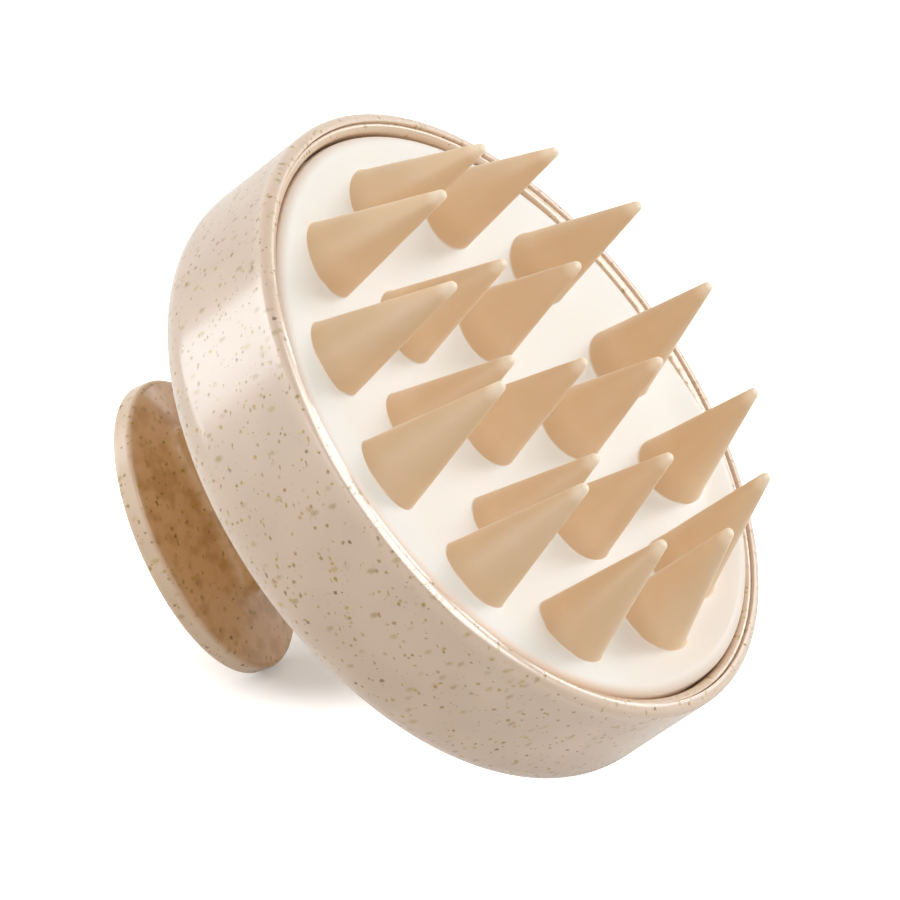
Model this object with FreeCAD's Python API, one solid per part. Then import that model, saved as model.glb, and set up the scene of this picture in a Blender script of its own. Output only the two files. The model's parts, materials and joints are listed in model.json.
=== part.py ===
import FreeCAD, Part
import math
import os

from FreeCAD import Matrix, Placement, Rotation, Vector

# Scalp massage brush, standing on its palm cap with the teeth up.
# Millimetres and degrees. The origin is the middle of the palm cap's flat face, +Z runs up the
# grip, and the head leans towards -X. The head is drawn about its own axis, with z = 0 on the rim.

# Head shell
head_diameter = 85.0
head_depth = 21.2
shell_wall = 1.5
shell_back = 2.2
wall_draft = 0.5
back_edge_radius = 6.4
rim_edge_radius = 1.1
rim_lead_in = 0.06
seat_rib_count = 8
seat_rib_width = 1.8
seat_rib_thickness = 1.6

# Grip
rake_angle = 13.0
finger_gap = 23.5
palm_length = 39.3
palm_width = 28.5
palm_cap_thickness = 1.1
palm_edge_thickness = 2.8
palm_edge_radius = 0.8
palm_crown = 2.0
cap_edge_radius = 0.6
cap_peg_diameter = 3.0
cap_peg_length = 1.3
cap_peg_spacing = 31.0
neck_length = 22.5
neck_thickness = 6.4
neck_corner_radius = 2.4
neck_shift = -1.5
neck_foot_radius = 1.3

# Retaining ring
ring_width = 1.02
ring_height = 5.0
ring_recess = 0.4
ring_inner_edge_radius = 0.8
ring_outer_edge_radius = 0.12

# Silicone pad
pad_drop = 0.4
pad_edge_radius = 1.5
dish_radius = 130.0
pad_thickness = 2.4
skirt_thickness = 2.2
flange_thickness = 1.4

# Teeth
tooth_base_diameter = 9.8
tooth_tip_radius = 0.7
tooth_root_depth = 1.2
outer_tooth_count = 12
outer_tooth_height = 18.6
outer_tooth_inset = 9.0
outer_tooth_lean = 7.6
inner_tooth_count = 6
inner_tooth_height = 16.7
centre_tooth_height = 17.3
tooth_ring_pitch = 14.2
inner_tooth_lean = 2.8
outer_tooth_turn = 23.2
inner_tooth_turn = 8.4

# Backing plate
plate_wall = 2.0
plate_rim_thickness = 2.0
plate_boss_diameter = 8.0
plate_boss_height = 2.4
plate_screw_count = 3
plate_screw_circle = 48.0
plate_screw_turn = 90.0

# Screws
screw_diameter = 3.0
pan_head_diameter = 5.0
pan_head_height = 1.8
plate_screw_length = 8.2
post_diameter = 7.0
sunk_head_diameter = 5.6
neck_screw_spacing = 13.0
neck_screw_bite = 5.2
neck_boss_diameter = 7.5
neck_boss_height = 6.5
drive_width = 0.8
drive_length = 3.0
drive_depth = 1.0

# Clearances
ring_fit = 0.08
flange_fit = 0.15
plate_fit = 0.2
pad_gap = 0.3
dish_gap = 0.3
pad_seat_gap = 0.1
screw_fit = 0.05
head_fit = 0.3
head_sink = 0.3
peg_fit = 0.05
hole_end_gap = 0.5

# Head radii, from the rim inwards
head_radius = head_diameter / 2
back_radius = head_radius - head_depth * math.tan(math.radians(wall_draft))
bore_radius = head_radius - shell_wall
ring_outer_radius = bore_radius - ring_fit
ring_inner_radius = ring_outer_radius - ring_width
pad_radius = ring_inner_radius - pad_gap
outer_tooth_radius = pad_radius - outer_tooth_inset
inner_tooth_radius = outer_tooth_radius - tooth_ring_pitch
skirt_inner_radius = pad_radius - skirt_thickness
flange_radius = ring_outer_radius - flange_fit
plate_radius = bore_radius - plate_fit
plate_core_radius = skirt_inner_radius - dish_gap

# Head heights, all below the rim plane
ring_top_z = -ring_recess
ring_bottom_z = ring_top_z - ring_height
flange_bottom_z = ring_bottom_z - flange_thickness
plate_rim_top_z = flange_bottom_z - pad_seat_gap
seat_z = plate_rim_top_z - plate_rim_thickness
floor_z = shell_back - head_depth

# The dish is a sphere that the pad's rolled edge touches from outside.
roll_radius = pad_radius - pad_edge_radius
roll_z = -pad_drop - pad_edge_radius
dish_centre_z = roll_z + math.sqrt((dish_radius + pad_edge_radius) ** 2 - roll_radius ** 2)
pad_under_radius = dish_radius + pad_thickness
plate_top_radius = pad_under_radius + dish_gap
plate_under_radius = plate_top_radius + plate_wall

# Grip heights, above the palm face
crown_top_z = palm_edge_thickness + palm_crown
back_on_axis_z = crown_top_z + finger_gap
rake_rise = math.tan(math.radians(rake_angle))
rake_cosine = math.cos(math.radians(rake_angle))
head_height = back_on_axis_z + head_depth / rake_cosine
head_place = Placement(Vector(0, 0, head_height), Rotation(Vector(0, 1, 0), -rake_angle))
neck_screw_xs = [neck_shift + side * neck_screw_spacing / 2 for side in (-1, 1)]

# Plate screws, in the head's frame
plate_screw_radius = plate_screw_circle / 2
head_outer_edge = plate_screw_radius - pan_head_diameter / 2 - head_fit

up = Vector(0, 0, 1)


def dish_z(radius, sphere_radius):
    return dish_centre_z - math.sqrt(sphere_radius ** 2 - radius ** 2)


def in_section(point):
    return Vector(point[0], 0, point[1])


def in_plan(point):
    return Vector(point[0], point[1], 0)


def line(start, end):
    return Part.LineSegment(start, end).toShape()


def dish_arc(start_radius, end_radius, sphere_radius):
    radii = (start_radius, (start_radius + end_radius) / 2, end_radius)
    points = [in_section((radius, dish_z(radius, sphere_radius))) for radius in radii]
    return Part.Arc(*points).toShape()


def rounded_loop(corners, place):
    """Closed wire through (u, v, radius) corners, each turned with its radius."""
    points = [place(corner) for corner in corners]
    starts, ends, arcs = [], [], []
    for index, corner in enumerate(corners):
        point = points[index]
        back = (points[index - 1] - point).normalize()
        ahead = (points[(index + 1) % len(points)] - point).normalize()
        half = back.getAngle(ahead) / 2
        reach = corner[2] / math.tan(half)
        starts.append(point + back * reach)
        ends.append(point + ahead * reach)
        if corner[2]:
            inward = (back + ahead).normalize()
            middle = point + inward * (corner[2] / math.sin(half) - corner[2])
            arcs.append(Part.Arc(starts[-1], middle, ends[-1]).toShape())
        else:
            arcs.append(None)
    edges = []
    for index, arc in enumerate(arcs):
        edges.append(line(ends[index - 1], starts[index]))
        if arc:
            edges.append(arc)
    return Part.Wire(edges)


def turned(wire):
    return Part.Face(wire).revolve(Vector(), up, 360)


def on_head(shape):
    return shape.transformed(head_place.toMatrix())


def around(count, first_angle, radius):
    """Points spread evenly on a circle in the head's frame, each with its angle."""
    for index in range(count):
        angle = first_angle + index * 360.0 / count
        turn = math.radians(angle)
        yield angle, Vector(radius * math.cos(turn), radius * math.sin(turn), 0)


def back_z(x):
    """Height of the shell's back face above the palm face, along the grip's middle plane."""
    return back_on_axis_z + x * rake_rise


def shell_outside():
    corners = [
        (0, -head_depth, 0),
        (back_radius, -head_depth, back_edge_radius),
        (head_radius, 0, rim_edge_radius),
        (0, 0, 0),
    ]
    return turned(rounded_loop(corners, in_section))


def shell_inside():
    floor_radius = back_radius - shell_wall
    corners = [
        (0, floor_z, 0),
        (floor_radius, floor_z, back_edge_radius - shell_wall),
        (bore_radius, seat_z, 0),
        (bore_radius, 0, 0),
        (0, 0, 0),
    ]
    return turned(rounded_loop(corners, in_section))


def seat_ribs():
    length = seat_rib_width + shell_wall / 2
    height = head_depth - shell_back / 2 + seat_z
    rib = Part.makeBox(length, seat_rib_thickness, height)
    rib.translate(Vector(bore_radius - seat_rib_width, -seat_rib_thickness / 2, seat_z - height))
    ribs = []
    for angle, _ in around(seat_rib_count, 0, 0):
        ribs.append(rib.rotated(Vector(), up, angle))
    return ribs


def screw_seat_z():
    """Plane that the plate screws' heads stand on, sunk below the dish."""
    return dish_z(head_outer_edge, plate_top_radius) - head_sink - pan_head_height


def plate_boss_z():
    return screw_seat_z() - plate_boss_height


def outer_shell():
    outside = shell_outside()
    cavity = shell_inside()
    rim_cut = [
        (bore_radius, 0, 0),
        (bore_radius, -rim_lead_in, 0),
        (bore_radius + rim_lead_in, 0, 0),
    ]
    cup = outside.cut(cavity).cut(turned(rounded_loop(rim_cut, in_section)))
    post_height = plate_boss_z() - floor_z + shell_back / 2
    posts = []
    holes = []
    for _, point in around(plate_screw_count, plate_screw_turn, plate_screw_radius):
        foot = point + up * (plate_boss_z() - post_height)
        posts.append(Part.makeCylinder(post_diameter / 2, post_height, foot))
        hole_depth = plate_screw_length - plate_boss_height + hole_end_gap
        tip = point + up * (plate_boss_z() - hole_depth)
        holes.append(Part.makeCylinder(screw_diameter / 2 + screw_fit, hole_depth, tip))
    ribs = [rib.common(outside) for rib in seat_ribs()]
    shell = on_head(cup.fuse(ribs + posts).cut(holes))
    outside = on_head(outside)
    bosses = []
    neck_holes = []
    for x in neck_screw_xs:
        wall = shell_back / rake_cosine
        boss = Part.makeCylinder(neck_boss_diameter / 2, neck_boss_height + wall / 2,
                                 Vector(x, 0, back_z(x) + wall / 2))
        bosses.append(boss.common(outside))
        depth = neck_screw_tip_z() + hole_end_gap
        neck_holes.append(Part.makeCylinder(screw_diameter / 2 + screw_fit, depth, Vector(x, 0, 0)))
    return shell.fuse(bosses).cut(neck_holes).removeSplitter()


def neck_screw_tip_z():
    """The screw bites least at the high side of the raked back."""
    return back_z(max(neck_screw_xs)) + neck_screw_bite


def palm_plate():
    """A turned plate with a crowned inner face, drawn in to an oval."""
    radius = palm_length / 2
    crown_radius = (radius ** 2 + palm_crown ** 2) / (2 * palm_crown)
    crown_centre_z = crown_top_z - crown_radius
    roll_reach = math.sqrt((crown_radius - palm_edge_radius) ** 2
                           - (radius - palm_edge_radius) ** 2)
    roll_centre = Vector(radius - palm_edge_radius, 0, crown_centre_z + roll_reach)
    outward = (roll_centre - Vector(0, 0, crown_centre_z)).normalize()
    meet = roll_centre + outward * palm_edge_radius
    side = roll_centre + Vector(palm_edge_radius, 0, 0)
    lean = (outward + Vector(1, 0, 0)).normalize()
    crown_middle = Vector(meet.x / 2, 0, crown_centre_z
                          + math.sqrt(crown_radius ** 2 - (meet.x / 2) ** 2))
    top = Vector(0, 0, crown_top_z)
    low = Vector(0, 0, palm_cap_thickness)
    foot = Vector(radius, 0, palm_cap_thickness)
    edges = [
        line(top, low),
        line(low, foot),
        line(foot, side),
        Part.Arc(side, roll_centre + lean * palm_edge_radius, meet).toShape(),
        Part.Arc(meet, crown_middle, top).toShape(),
    ]
    squeeze = Matrix()
    squeeze.scale(1, palm_width / palm_length, 1)
    return turned(Part.Wire(edges)).transformGeometry(squeeze)


def neck_block():
    half_length = neck_length / 2
    half_thickness = neck_thickness / 2
    corners = []
    for x_side, y_side in ((-1, -1), (1, -1), (1, 1), (-1, 1)):
        corners.append((neck_shift + x_side * half_length, y_side * half_thickness,
                        neck_corner_radius))
    outline = Part.Face(rounded_loop(corners, in_plan))
    outline.translate(up * palm_cap_thickness)
    block = outline.extrude(up * (head_height - palm_cap_thickness))
    above_back = Part.makeBox(2 * head_diameter, 2 * head_diameter, head_diameter,
                              Vector(-head_diameter, -head_diameter, -head_depth))
    return block.cut(on_head(above_back))


def neck_foot_edges(grip):
    """The seam where the neck rises out of the crowned plate."""
    margin = neck_foot_radius / 2
    found = []
    for edge in grip.Edges:
        box = edge.BoundBox
        near_x = box.XMax < neck_shift + neck_length / 2 + margin
        near_x = near_x and box.XMin > neck_shift - neck_length / 2 - margin
        near_y = max(-box.YMin, box.YMax) < neck_thickness / 2 + margin
        low = palm_cap_thickness + margin < box.ZMin and box.ZMax < crown_top_z + margin
        if near_x and near_y and low:
            found.append(edge)
    return found


def grip_handle():
    grip = palm_plate().fuse(neck_block())
    grip = grip.makeFillet(neck_foot_radius, neck_foot_edges(grip))
    cuts = []
    for x in neck_screw_xs:
        cuts.append(Part.makeCylinder(screw_diameter / 2 + screw_fit, head_height, Vector(x, 0, 0)))
        cuts.append(sunk_head(screw_fit).translated(Vector(x, 0, palm_cap_thickness)))
    for x in (-cap_peg_spacing / 2, cap_peg_spacing / 2):
        cuts.append(Part.makeCylinder(cap_peg_diameter / 2 + peg_fit, cap_peg_length + peg_fit,
                                      Vector(x, 0, palm_cap_thickness)))
    return grip.cut(cuts)


def palm_cap():
    oval = Part.Ellipse(Vector(), palm_length / 2, palm_width / 2).toShape()
    cap = Part.Face(Part.Wire(oval)).extrude(up * palm_cap_thickness)
    lower = [edge for edge in cap.Edges if edge.BoundBox.ZMax < palm_cap_thickness / 2]
    cap = cap.makeFillet(cap_edge_radius, lower)
    for x in (-cap_peg_spacing / 2, cap_peg_spacing / 2):
        length = cap_peg_length + palm_cap_thickness / 2
        cap = cap.fuse(Part.makeCylinder(cap_peg_diameter / 2, length,
                                         Vector(x, 0, palm_cap_thickness / 2)))
    return cap


def sunk_head(clearance):
    """Countersunk head with its flat face down at z = 0."""
    depth = (sunk_head_diameter - screw_diameter) / 2
    return Part.makeCone(sunk_head_diameter / 2 + clearance, screw_diameter / 2 + clearance, depth)


def cross_drive(z):
    bars = []
    for length, width in ((drive_length, drive_width), (drive_width, drive_length)):
        bars.append(Part.makeBox(length, width, drive_depth, Vector(-length / 2, -width / 2, z)))
    return bars


def neck_screws():
    length = neck_screw_tip_z() - palm_cap_thickness
    shank = Part.makeCylinder(screw_diameter / 2, length - screw_diameter / 2)
    point = Part.makeCone(screw_diameter / 2, 0, screw_diameter / 2,
                          Vector(0, 0, length - screw_diameter / 2))
    screw = shank.fuse([point, sunk_head(0)]).cut(cross_drive(0)).removeSplitter()
    return Part.makeCompound([screw.translated(Vector(x, 0, palm_cap_thickness))
                              for x in neck_screw_xs])


def plate_screws():
    shank_length = plate_screw_length - screw_diameter / 2
    shank = Part.makeCylinder(screw_diameter / 2, shank_length, Vector(0, 0, -shank_length))
    point = Part.makeCone(0, screw_diameter / 2, screw_diameter / 2, Vector(0, 0, -plate_screw_length))
    head = Part.makeCylinder(pan_head_diameter / 2, pan_head_height)
    rim = [edge for edge in head.Edges if edge.BoundBox.ZMin > pan_head_height / 2]
    head = head.makeFillet(pan_head_height / 2, rim)
    screw = shank.fuse([point, head]).cut(cross_drive(pan_head_height - drive_depth)).removeSplitter()
    screws = []
    for _, point in around(plate_screw_count, plate_screw_turn, plate_screw_radius):
        screws.append(on_head(screw.translated(point + up * screw_seat_z())))
    return Part.makeCompound(screws)


def backing_plate():
    inner_radius = plate_core_radius - plate_wall
    core_top = in_section((plate_core_radius, dish_z(plate_core_radius, plate_top_radius)))
    core_foot = in_section((plate_core_radius, plate_rim_top_z))
    rim_top = in_section((plate_radius, plate_rim_top_z))
    rim_foot = in_section((plate_radius, seat_z))
    inner_foot = in_section((inner_radius, seat_z))
    inner_top = in_section((inner_radius, dish_z(inner_radius, plate_under_radius)))
    under = in_section((0, dish_z(0, plate_under_radius)))
    top = in_section((0, dish_z(0, plate_top_radius)))
    edges = [
        dish_arc(0, plate_core_radius, plate_top_radius),
        line(core_top, core_foot),
        line(core_foot, rim_top),
        line(rim_top, rim_foot),
        line(rim_foot, inner_foot),
        line(inner_foot, inner_top),
        dish_arc(inner_radius, 0, plate_under_radius),
        line(under, top),
    ]
    plate = turned(Part.Wire(edges))
    dish = Part.makeSphere(plate_top_radius, Vector(0, 0, dish_centre_z))
    bosses = []
    cuts = []
    for _, point in around(plate_screw_count, plate_screw_turn, plate_screw_radius):
        boss = Part.makeCylinder(plate_boss_diameter / 2, -plate_boss_z(), point + up * plate_boss_z())
        bosses.append(boss.cut(dish))
        cuts.append(Part.makeCylinder(screw_diameter / 2 + screw_fit, -plate_boss_z(),
                                      point + up * plate_boss_z()))
        cuts.append(Part.makeCylinder(pan_head_diameter / 2 + head_fit, -screw_seat_z(),
                                      point + up * screw_seat_z()))
    return on_head(plate.fuse(bosses).cut(cuts).removeSplitter())


def tooth(height):
    """Cone with a round tip, standing on z = 0, with a root below the pad's face."""
    base_radius = tooth_base_diameter / 2
    tip_z = height - tooth_tip_radius
    reach = math.hypot(base_radius, tip_z)
    flank = math.acos(tooth_tip_radius / reach) + math.atan2(-tip_z, base_radius)
    touch = Vector(tooth_tip_radius * math.cos(flank), 0, tip_z + tooth_tip_radius * math.sin(flank))
    slope = (base_radius - touch.x) / touch.z
    root_radius = base_radius + slope * tooth_root_depth
    root = Vector(root_radius, 0, -tooth_root_depth)
    heel = Vector(0, 0, -tooth_root_depth)
    tip = Vector(0, 0, height)
    half_turn = (flank + math.pi / 2) / 2
    crest = Vector(tooth_tip_radius * math.cos(half_turn), 0,
                   tip_z + tooth_tip_radius * math.sin(half_turn))
    edges = [line(heel, root), line(root, touch), Part.Arc(touch, crest, tip).toShape(), line(tip, heel)]
    return turned(Part.Wire(edges))


def tooth_ring(count, radius, first_angle, height, lean):
    """Teeth on a circle of the dish, each leaning towards the head's axis."""
    leaning = tooth(height).rotated(Vector(), Vector(0, 1, 0), -lean)
    leaning.translate(Vector(radius, 0, dish_z(radius, dish_radius)))
    return [leaning.rotated(Vector(), up, angle) for angle, _ in around(count, first_angle, radius)]


def bristle_pad():
    top_radius = dish_radius / (dish_radius + pad_edge_radius) * roll_radius
    roll_start = in_section((top_radius, dish_z(top_radius, dish_radius)))
    roll_end = in_section((pad_radius, roll_z))
    roll_centre = in_section((roll_radius, roll_z))
    lean = (roll_start - roll_centre).normalize() + Vector(1, 0, 0)
    roll_middle = roll_centre + lean.normalize() * pad_edge_radius
    skirt_foot = in_section((pad_radius, ring_bottom_z))
    flange_top = in_section((flange_radius, ring_bottom_z))
    flange_foot = in_section((flange_radius, flange_bottom_z))
    inner_foot = in_section((skirt_inner_radius, flange_bottom_z))
    inner_top = in_section((skirt_inner_radius, dish_z(skirt_inner_radius, pad_under_radius)))
    under = in_section((0, dish_z(0, pad_under_radius)))
    top = in_section((0, dish_z(0, dish_radius)))
    edges = [
        dish_arc(0, top_radius, dish_radius),
        Part.Arc(roll_start, roll_middle, roll_end).toShape(),
        line(roll_end, skirt_foot),
        line(skirt_foot, flange_top),
        line(flange_top, flange_foot),
        line(flange_foot, inner_foot),
        line(inner_foot, inner_top),
        dish_arc(skirt_inner_radius, 0, pad_under_radius),
        line(under, top),
    ]
    pad = turned(Part.Wire(edges))
    half_pitch = 180.0 / inner_tooth_count
    centre_tooth = tooth(centre_tooth_height).rotated(Vector(), up, half_pitch).translated(top)
    outer = tooth_ring(outer_tooth_count, outer_tooth_radius, outer_tooth_turn,
                       outer_tooth_height, outer_tooth_lean)
    inner = tooth_ring(inner_tooth_count, inner_tooth_radius, inner_tooth_turn,
                       inner_tooth_height, inner_tooth_lean)
    return on_head(pad.fuse([centre_tooth] + inner + outer))


def retaining_ring():
    corners = [
        (ring_inner_radius, ring_bottom_z, 0),
        (ring_outer_radius, ring_bottom_z, 0),
        (ring_outer_radius, ring_top_z, ring_outer_edge_radius),
        (ring_inner_radius, ring_top_z, ring_inner_edge_radius),
    ]
    return on_head(turned(rounded_loop(corners, in_section)))


pieces = {
    "outer_shell": outer_shell,
    "grip_handle": grip_handle,
    "palm_cap": palm_cap,
    "neck_screws": neck_screws,
    "backing_plate": backing_plate,
    "plate_screws": plate_screws,
    "bristle_pad": bristle_pad,
    "retaining_ring": retaining_ring,
}

os.makedirs("parts", exist_ok=True)
for name, make in pieces.items():
    shape = make()
    shape.exportStep(f"parts/{name}.step")
    box = shape.BoundBox
    print(f"{name}: {len(shape.Solids)} solids, {shape.Volume:.1f} mm3, valid {shape.isValid()}, "
          f"z {box.ZMin:.2f} to {box.ZMax:.2f}")
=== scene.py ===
import json
import math

import bmesh
import bpy
from mathutils import Matrix, Vector
from mathutils.geometry import delaunay_2d_cdt


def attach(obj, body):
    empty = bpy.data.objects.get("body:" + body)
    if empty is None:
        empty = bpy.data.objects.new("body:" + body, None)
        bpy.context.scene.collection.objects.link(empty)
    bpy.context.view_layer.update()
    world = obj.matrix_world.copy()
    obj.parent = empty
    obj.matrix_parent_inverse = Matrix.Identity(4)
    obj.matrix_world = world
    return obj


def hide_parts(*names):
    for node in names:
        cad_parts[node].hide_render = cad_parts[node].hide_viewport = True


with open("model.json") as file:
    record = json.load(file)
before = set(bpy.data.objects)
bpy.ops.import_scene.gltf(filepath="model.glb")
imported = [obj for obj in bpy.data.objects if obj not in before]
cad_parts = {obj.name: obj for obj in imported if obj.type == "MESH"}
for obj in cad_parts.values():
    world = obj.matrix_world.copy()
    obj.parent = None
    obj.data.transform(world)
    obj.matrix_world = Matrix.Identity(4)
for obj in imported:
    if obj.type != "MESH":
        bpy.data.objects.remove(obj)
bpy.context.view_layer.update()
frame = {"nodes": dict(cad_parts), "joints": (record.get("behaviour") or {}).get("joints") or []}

mm = 0.001
scene = bpy.context.scene
scene.view_settings.view_transform = "Standard"


# The head's own frame: z along the way the pad pulls out, z = 0 on the shell's rim

def findHeadFrame():
    axis = Vector(frame["joints"][0]["axis"]).normalized()
    reach = max(v.co.dot(axis) for v in frame["nodes"]["outer_shell"].data.vertices)
    rimCentre = Vector((0, 0, reach / axis.z))
    rake = math.atan2(-axis.x, axis.z)
    return Matrix.Translation(rimCentre) @ Matrix.Rotation(-rake, 4, "Y")


headFrame = findHeadFrame()
print("head frame at", [round(x / mm, 2) for x in headFrame.translation], "mm")


# Camera, as the photo was taken: a long lens, tipped so that the brush lies on its side

photoView = dict(
    azimuth=-9.41,      # degrees round the brush
    elevation=29.85,    # degrees above the palm face's plane
    roll=69.39,         # degrees that the picture is turned
    distance=699.46,    # mm from the lens to the rim's middle
    lens=229.81,        # mm
    sensor=36.0,        # mm
    clip=(0.01, 10.0),  # metres
    rimRight=8.64,      # mm, the rim's middle from the picture's middle
    rimUp=5.2,
)


def photoAxes(view):
    a = math.radians(view["azimuth"])
    e = math.radians(view["elevation"])
    back = Vector((math.sin(a) * math.cos(e), -math.cos(a) * math.cos(e), math.sin(e)))
    upright = (-back).to_track_quat("-Z", "Y").to_matrix()
    return upright @ Matrix.Rotation(math.radians(view["roll"]), 3, "Z")


def addCamera(view):
    axes = photoAxes(view)
    offset = Vector((-view["rimRight"], -view["rimUp"], view["distance"])) * mm
    data = bpy.data.cameras.new("photoCamera")
    data.lens = view["lens"]
    data.sensor_width = view["sensor"]
    data.clip_start, data.clip_end = view["clip"]
    camera = bpy.data.objects.new("photoCamera", data)
    camera.matrix_world = Matrix.Translation(headFrame.translation + axes @ offset) @ axes.to_4x4()
    scene.collection.objects.link(camera)
    scene.camera = camera
    return axes


viewAxes = addCamera(photoView)
print("camera set")


# Small helpers for meshes

def newPiece(name, mesh):
    piece = bpy.data.objects.new(name, mesh)
    scene.collection.objects.link(piece)
    return piece


def lathe(bm, profile, segments):
    # turns (radius, height) points round z; a point on the axis becomes one vertex
    rings = []
    for radius, height in profile:
        if radius == 0:
            rings.append([bm.verts.new((0, 0, height))] * segments)
            continue
        turns = [2 * math.pi * i / segments for i in range(segments)]
        rings.append([bm.verts.new((radius * math.cos(t), radius * math.sin(t), height)) for t in turns])
    for low, high in zip(rings, rings[1:]):
        for i in range(segments):
            j = (i + 1) % segments
            corners = list(dict.fromkeys((low[i], low[j], high[j], high[i])))
            bm.faces.new(corners)


def arc(centre, radius, start, end, steps):
    # (radius, height) points on an arc, angles in radians
    turns = [start + (end - start) * i / steps for i in range(steps + 1)]
    return [(centre[0] + radius * math.cos(t), centre[1] + radius * math.sin(t)) for t in turns]


# Silicone pad: a shallow dish with a rolled edge, a skirt and a clamped flange

pad = dict(             # lengths in mm, heights from the shell's rim
    radius=39.6,
    edgeDrop=0.4,
    edgeRadius=1.5,
    dishRadius=130.0,
    thickness=2.4,
    skirt=2.2,
    flangeRadius=40.77,
    flangeTop=-5.4,
    flangeBottom=-6.8,
    segments=192,       # round the head
    rollSteps=14,       # round the rolled edge
    underSteps=12,      # from the skirt to the axis, underneath
    dishStep=1.5,       # between points on the dish
    weld=0.004,         # points nearer than this become one
    sharpAngle=50.0,    # degrees, past which an edge stays crisp
    swells=(            # where the soft edge sits high or low in the ring: mm, and degrees each way
        dict(rise=1.1, turn=33.0, full=28.0, none=48.0),
        dict(rise=-0.7, turn=280.0, full=25.0, none=80.0),
    ),
    swellReach=(34.5, 38.0),    # from the axis, none and full
    swellFoot=(-5.0, -2.0),     # heights on the skirt, none and full
)

# Teeth off the pattern: the foot is nudged round the ring, in degrees,
# and the tip sways outwards and round the ring, in mm
outerStances = (
    dict(tooth=0, nudge=-0.5, sway=(-1.2, 0.6)),
    dict(tooth=1, nudge=0.0, sway=(-1.6, 0.0)),
    dict(tooth=2, nudge=-0.5, sway=(0.0, 1.4)),
    dict(tooth=5, nudge=-1.0, sway=(0.0, 1.2)),
    dict(tooth=6, nudge=-0.5, sway=(0.6, 0.7)),
    dict(tooth=8, nudge=0.0, sway=(-0.6, -1.0)),
    dict(tooth=10, nudge=0.5, sway=(1.0, -2.3)),
    dict(tooth=11, nudge=5.0, sway=(-1.5, -3.8)),
)

teeth = dict(           # lengths in mm, angles in degrees
    baseRadius=4.9,
    tipRadius=0.7,
    rootFillet=0.12,
    rootShare=0.01,     # least share of its height that a point above the foot is given
    sides=56,
    filletSteps=5,
    flankSteps=9,
    tipSteps=7,
    rings=(
        dict(count=12, radius=30.6, turn=23.2, height=18.6, lean=7.6, stances=outerStances),
        dict(count=6, radius=16.4, turn=8.4, height=16.7, lean=2.8, stances=()),
        dict(count=1, radius=0.0, turn=30.0, height=17.3, lean=0.0, stances=()),
    ),
)

rollCentre = (pad["radius"] - pad["edgeRadius"], -pad["edgeDrop"] - pad["edgeRadius"])
rollReach = pad["dishRadius"] + pad["edgeRadius"]       # from the dish's centre to the roll's
dishCentreZ = rollCentre[1] + math.sqrt(rollReach ** 2 - rollCentre[0] ** 2)
dishCentre = Vector((0, 0, dishCentreZ))
dishEdge = rollCentre[0] * pad["dishRadius"] / rollReach


def dishHeight(radius, sphere):
    return dishCentreZ - math.sqrt(sphere ** 2 - radius ** 2)


def toothRows(ring):
    # one closed row of points for each step from the foot on the dish to the tip
    lean = math.radians(ring["lean"])
    along = Vector((-math.sin(lean), 0, math.cos(lean)))
    across = Vector((math.cos(lean), 0, math.sin(lean)))
    side = Vector((0, 1, 0))
    foot = Vector((ring["radius"], 0, dishHeight(ring["radius"], pad["dishRadius"])))
    tipHeight = ring["height"] - teeth["tipRadius"]
    reach = math.hypot(teeth["baseRadius"], tipHeight)
    touch = math.acos(teeth["tipRadius"] / reach) - math.atan2(tipHeight, teeth["baseRadius"])
    tipMiddle = foot + along * tipHeight
    columns = []
    for i in range(teeth["sides"]):
        t = 2 * math.pi * i / teeth["sides"]
        out = across * math.cos(t) + side * math.sin(t)
        crest = []
        for step in range(teeth["tipSteps"]):
            bend = touch + (math.pi / 2 - touch) * step / teeth["tipSteps"]
            spoke = out * math.cos(bend) + along * math.sin(bend)
            crest.append(tipMiddle + spoke * teeth["tipRadius"])
        down = (foot + out * teeth["baseRadius"] - crest[0]).normalized()
        # where this side of the cone meets the dish, and the fillet there
        toCentre = dishCentre - crest[0]
        middle = down.dot(toCentre)
        drop = middle + math.sqrt(middle ** 2 - toCentre.length_squared + pad["dishRadius"] ** 2)
        meet = crest[0] + down * drop
        normal = (dishCentre - meet).normalized()
        outward = (down - normal * down.dot(normal)).normalized()
        half = outward.angle(-down) / 2
        filletMiddle = meet + (outward - down).normalized() * teeth["rootFillet"] / math.sin(half)
        reachBack = teeth["rootFillet"] / math.tan(half)
        fromFlank = meet - down * reachBack - filletMiddle
        fromDish = meet + outward * reachBack - filletMiddle
        column = []
        for step in range(teeth["filletSteps"] + 1):
            spoke = fromDish.normalized().slerp(fromFlank.normalized(), step / teeth["filletSteps"])
            column.append(filletMiddle + spoke * teeth["rootFillet"])
        column[0] = dishCentre + (column[0] - dishCentre).normalized() * pad["dishRadius"]
        last = column[-1]
        column += [last.lerp(crest[0], s / teeth["flankSteps"]) for s in range(1, teeth["flankSteps"])]
        columns.append(column + crest)
    return list(zip(*columns)), foot + along * ring["height"]


def toothMesh(name, ring):
    rows, tip = toothRows(ring)
    bm = bmesh.new()
    along = bm.verts.layers.float.new("alongTooth")
    rings = [[bm.verts.new(point) for point in row] for row in rows]
    apex = bm.verts.new(tip)
    apex[along] = 1
    foot = dishHeight(ring["radius"], pad["dishRadius"])
    for row in rings[1:]:
        for vert in row:
            vert[along] = max(teeth["rootShare"], (vert.co.z - foot) / (tip.z - foot))
    for low, high in zip(rings, rings[1:]):
        for i in range(len(low)):
            j = (i + 1) % len(low)
            bm.faces.new((low[i], low[j], high[j], high[i]))
    for i in range(len(rings[-1])):
        bm.faces.new((rings[-1][i], rings[-1][(i + 1) % len(rings[-1])], apex))
    mesh = bpy.data.meshes.new(name)
    bm.to_mesh(mesh)
    bm.free()
    return mesh


def link(tree, fromSocket, toSocket):
    tree.links.new(fromSocket, toSocket)


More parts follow.
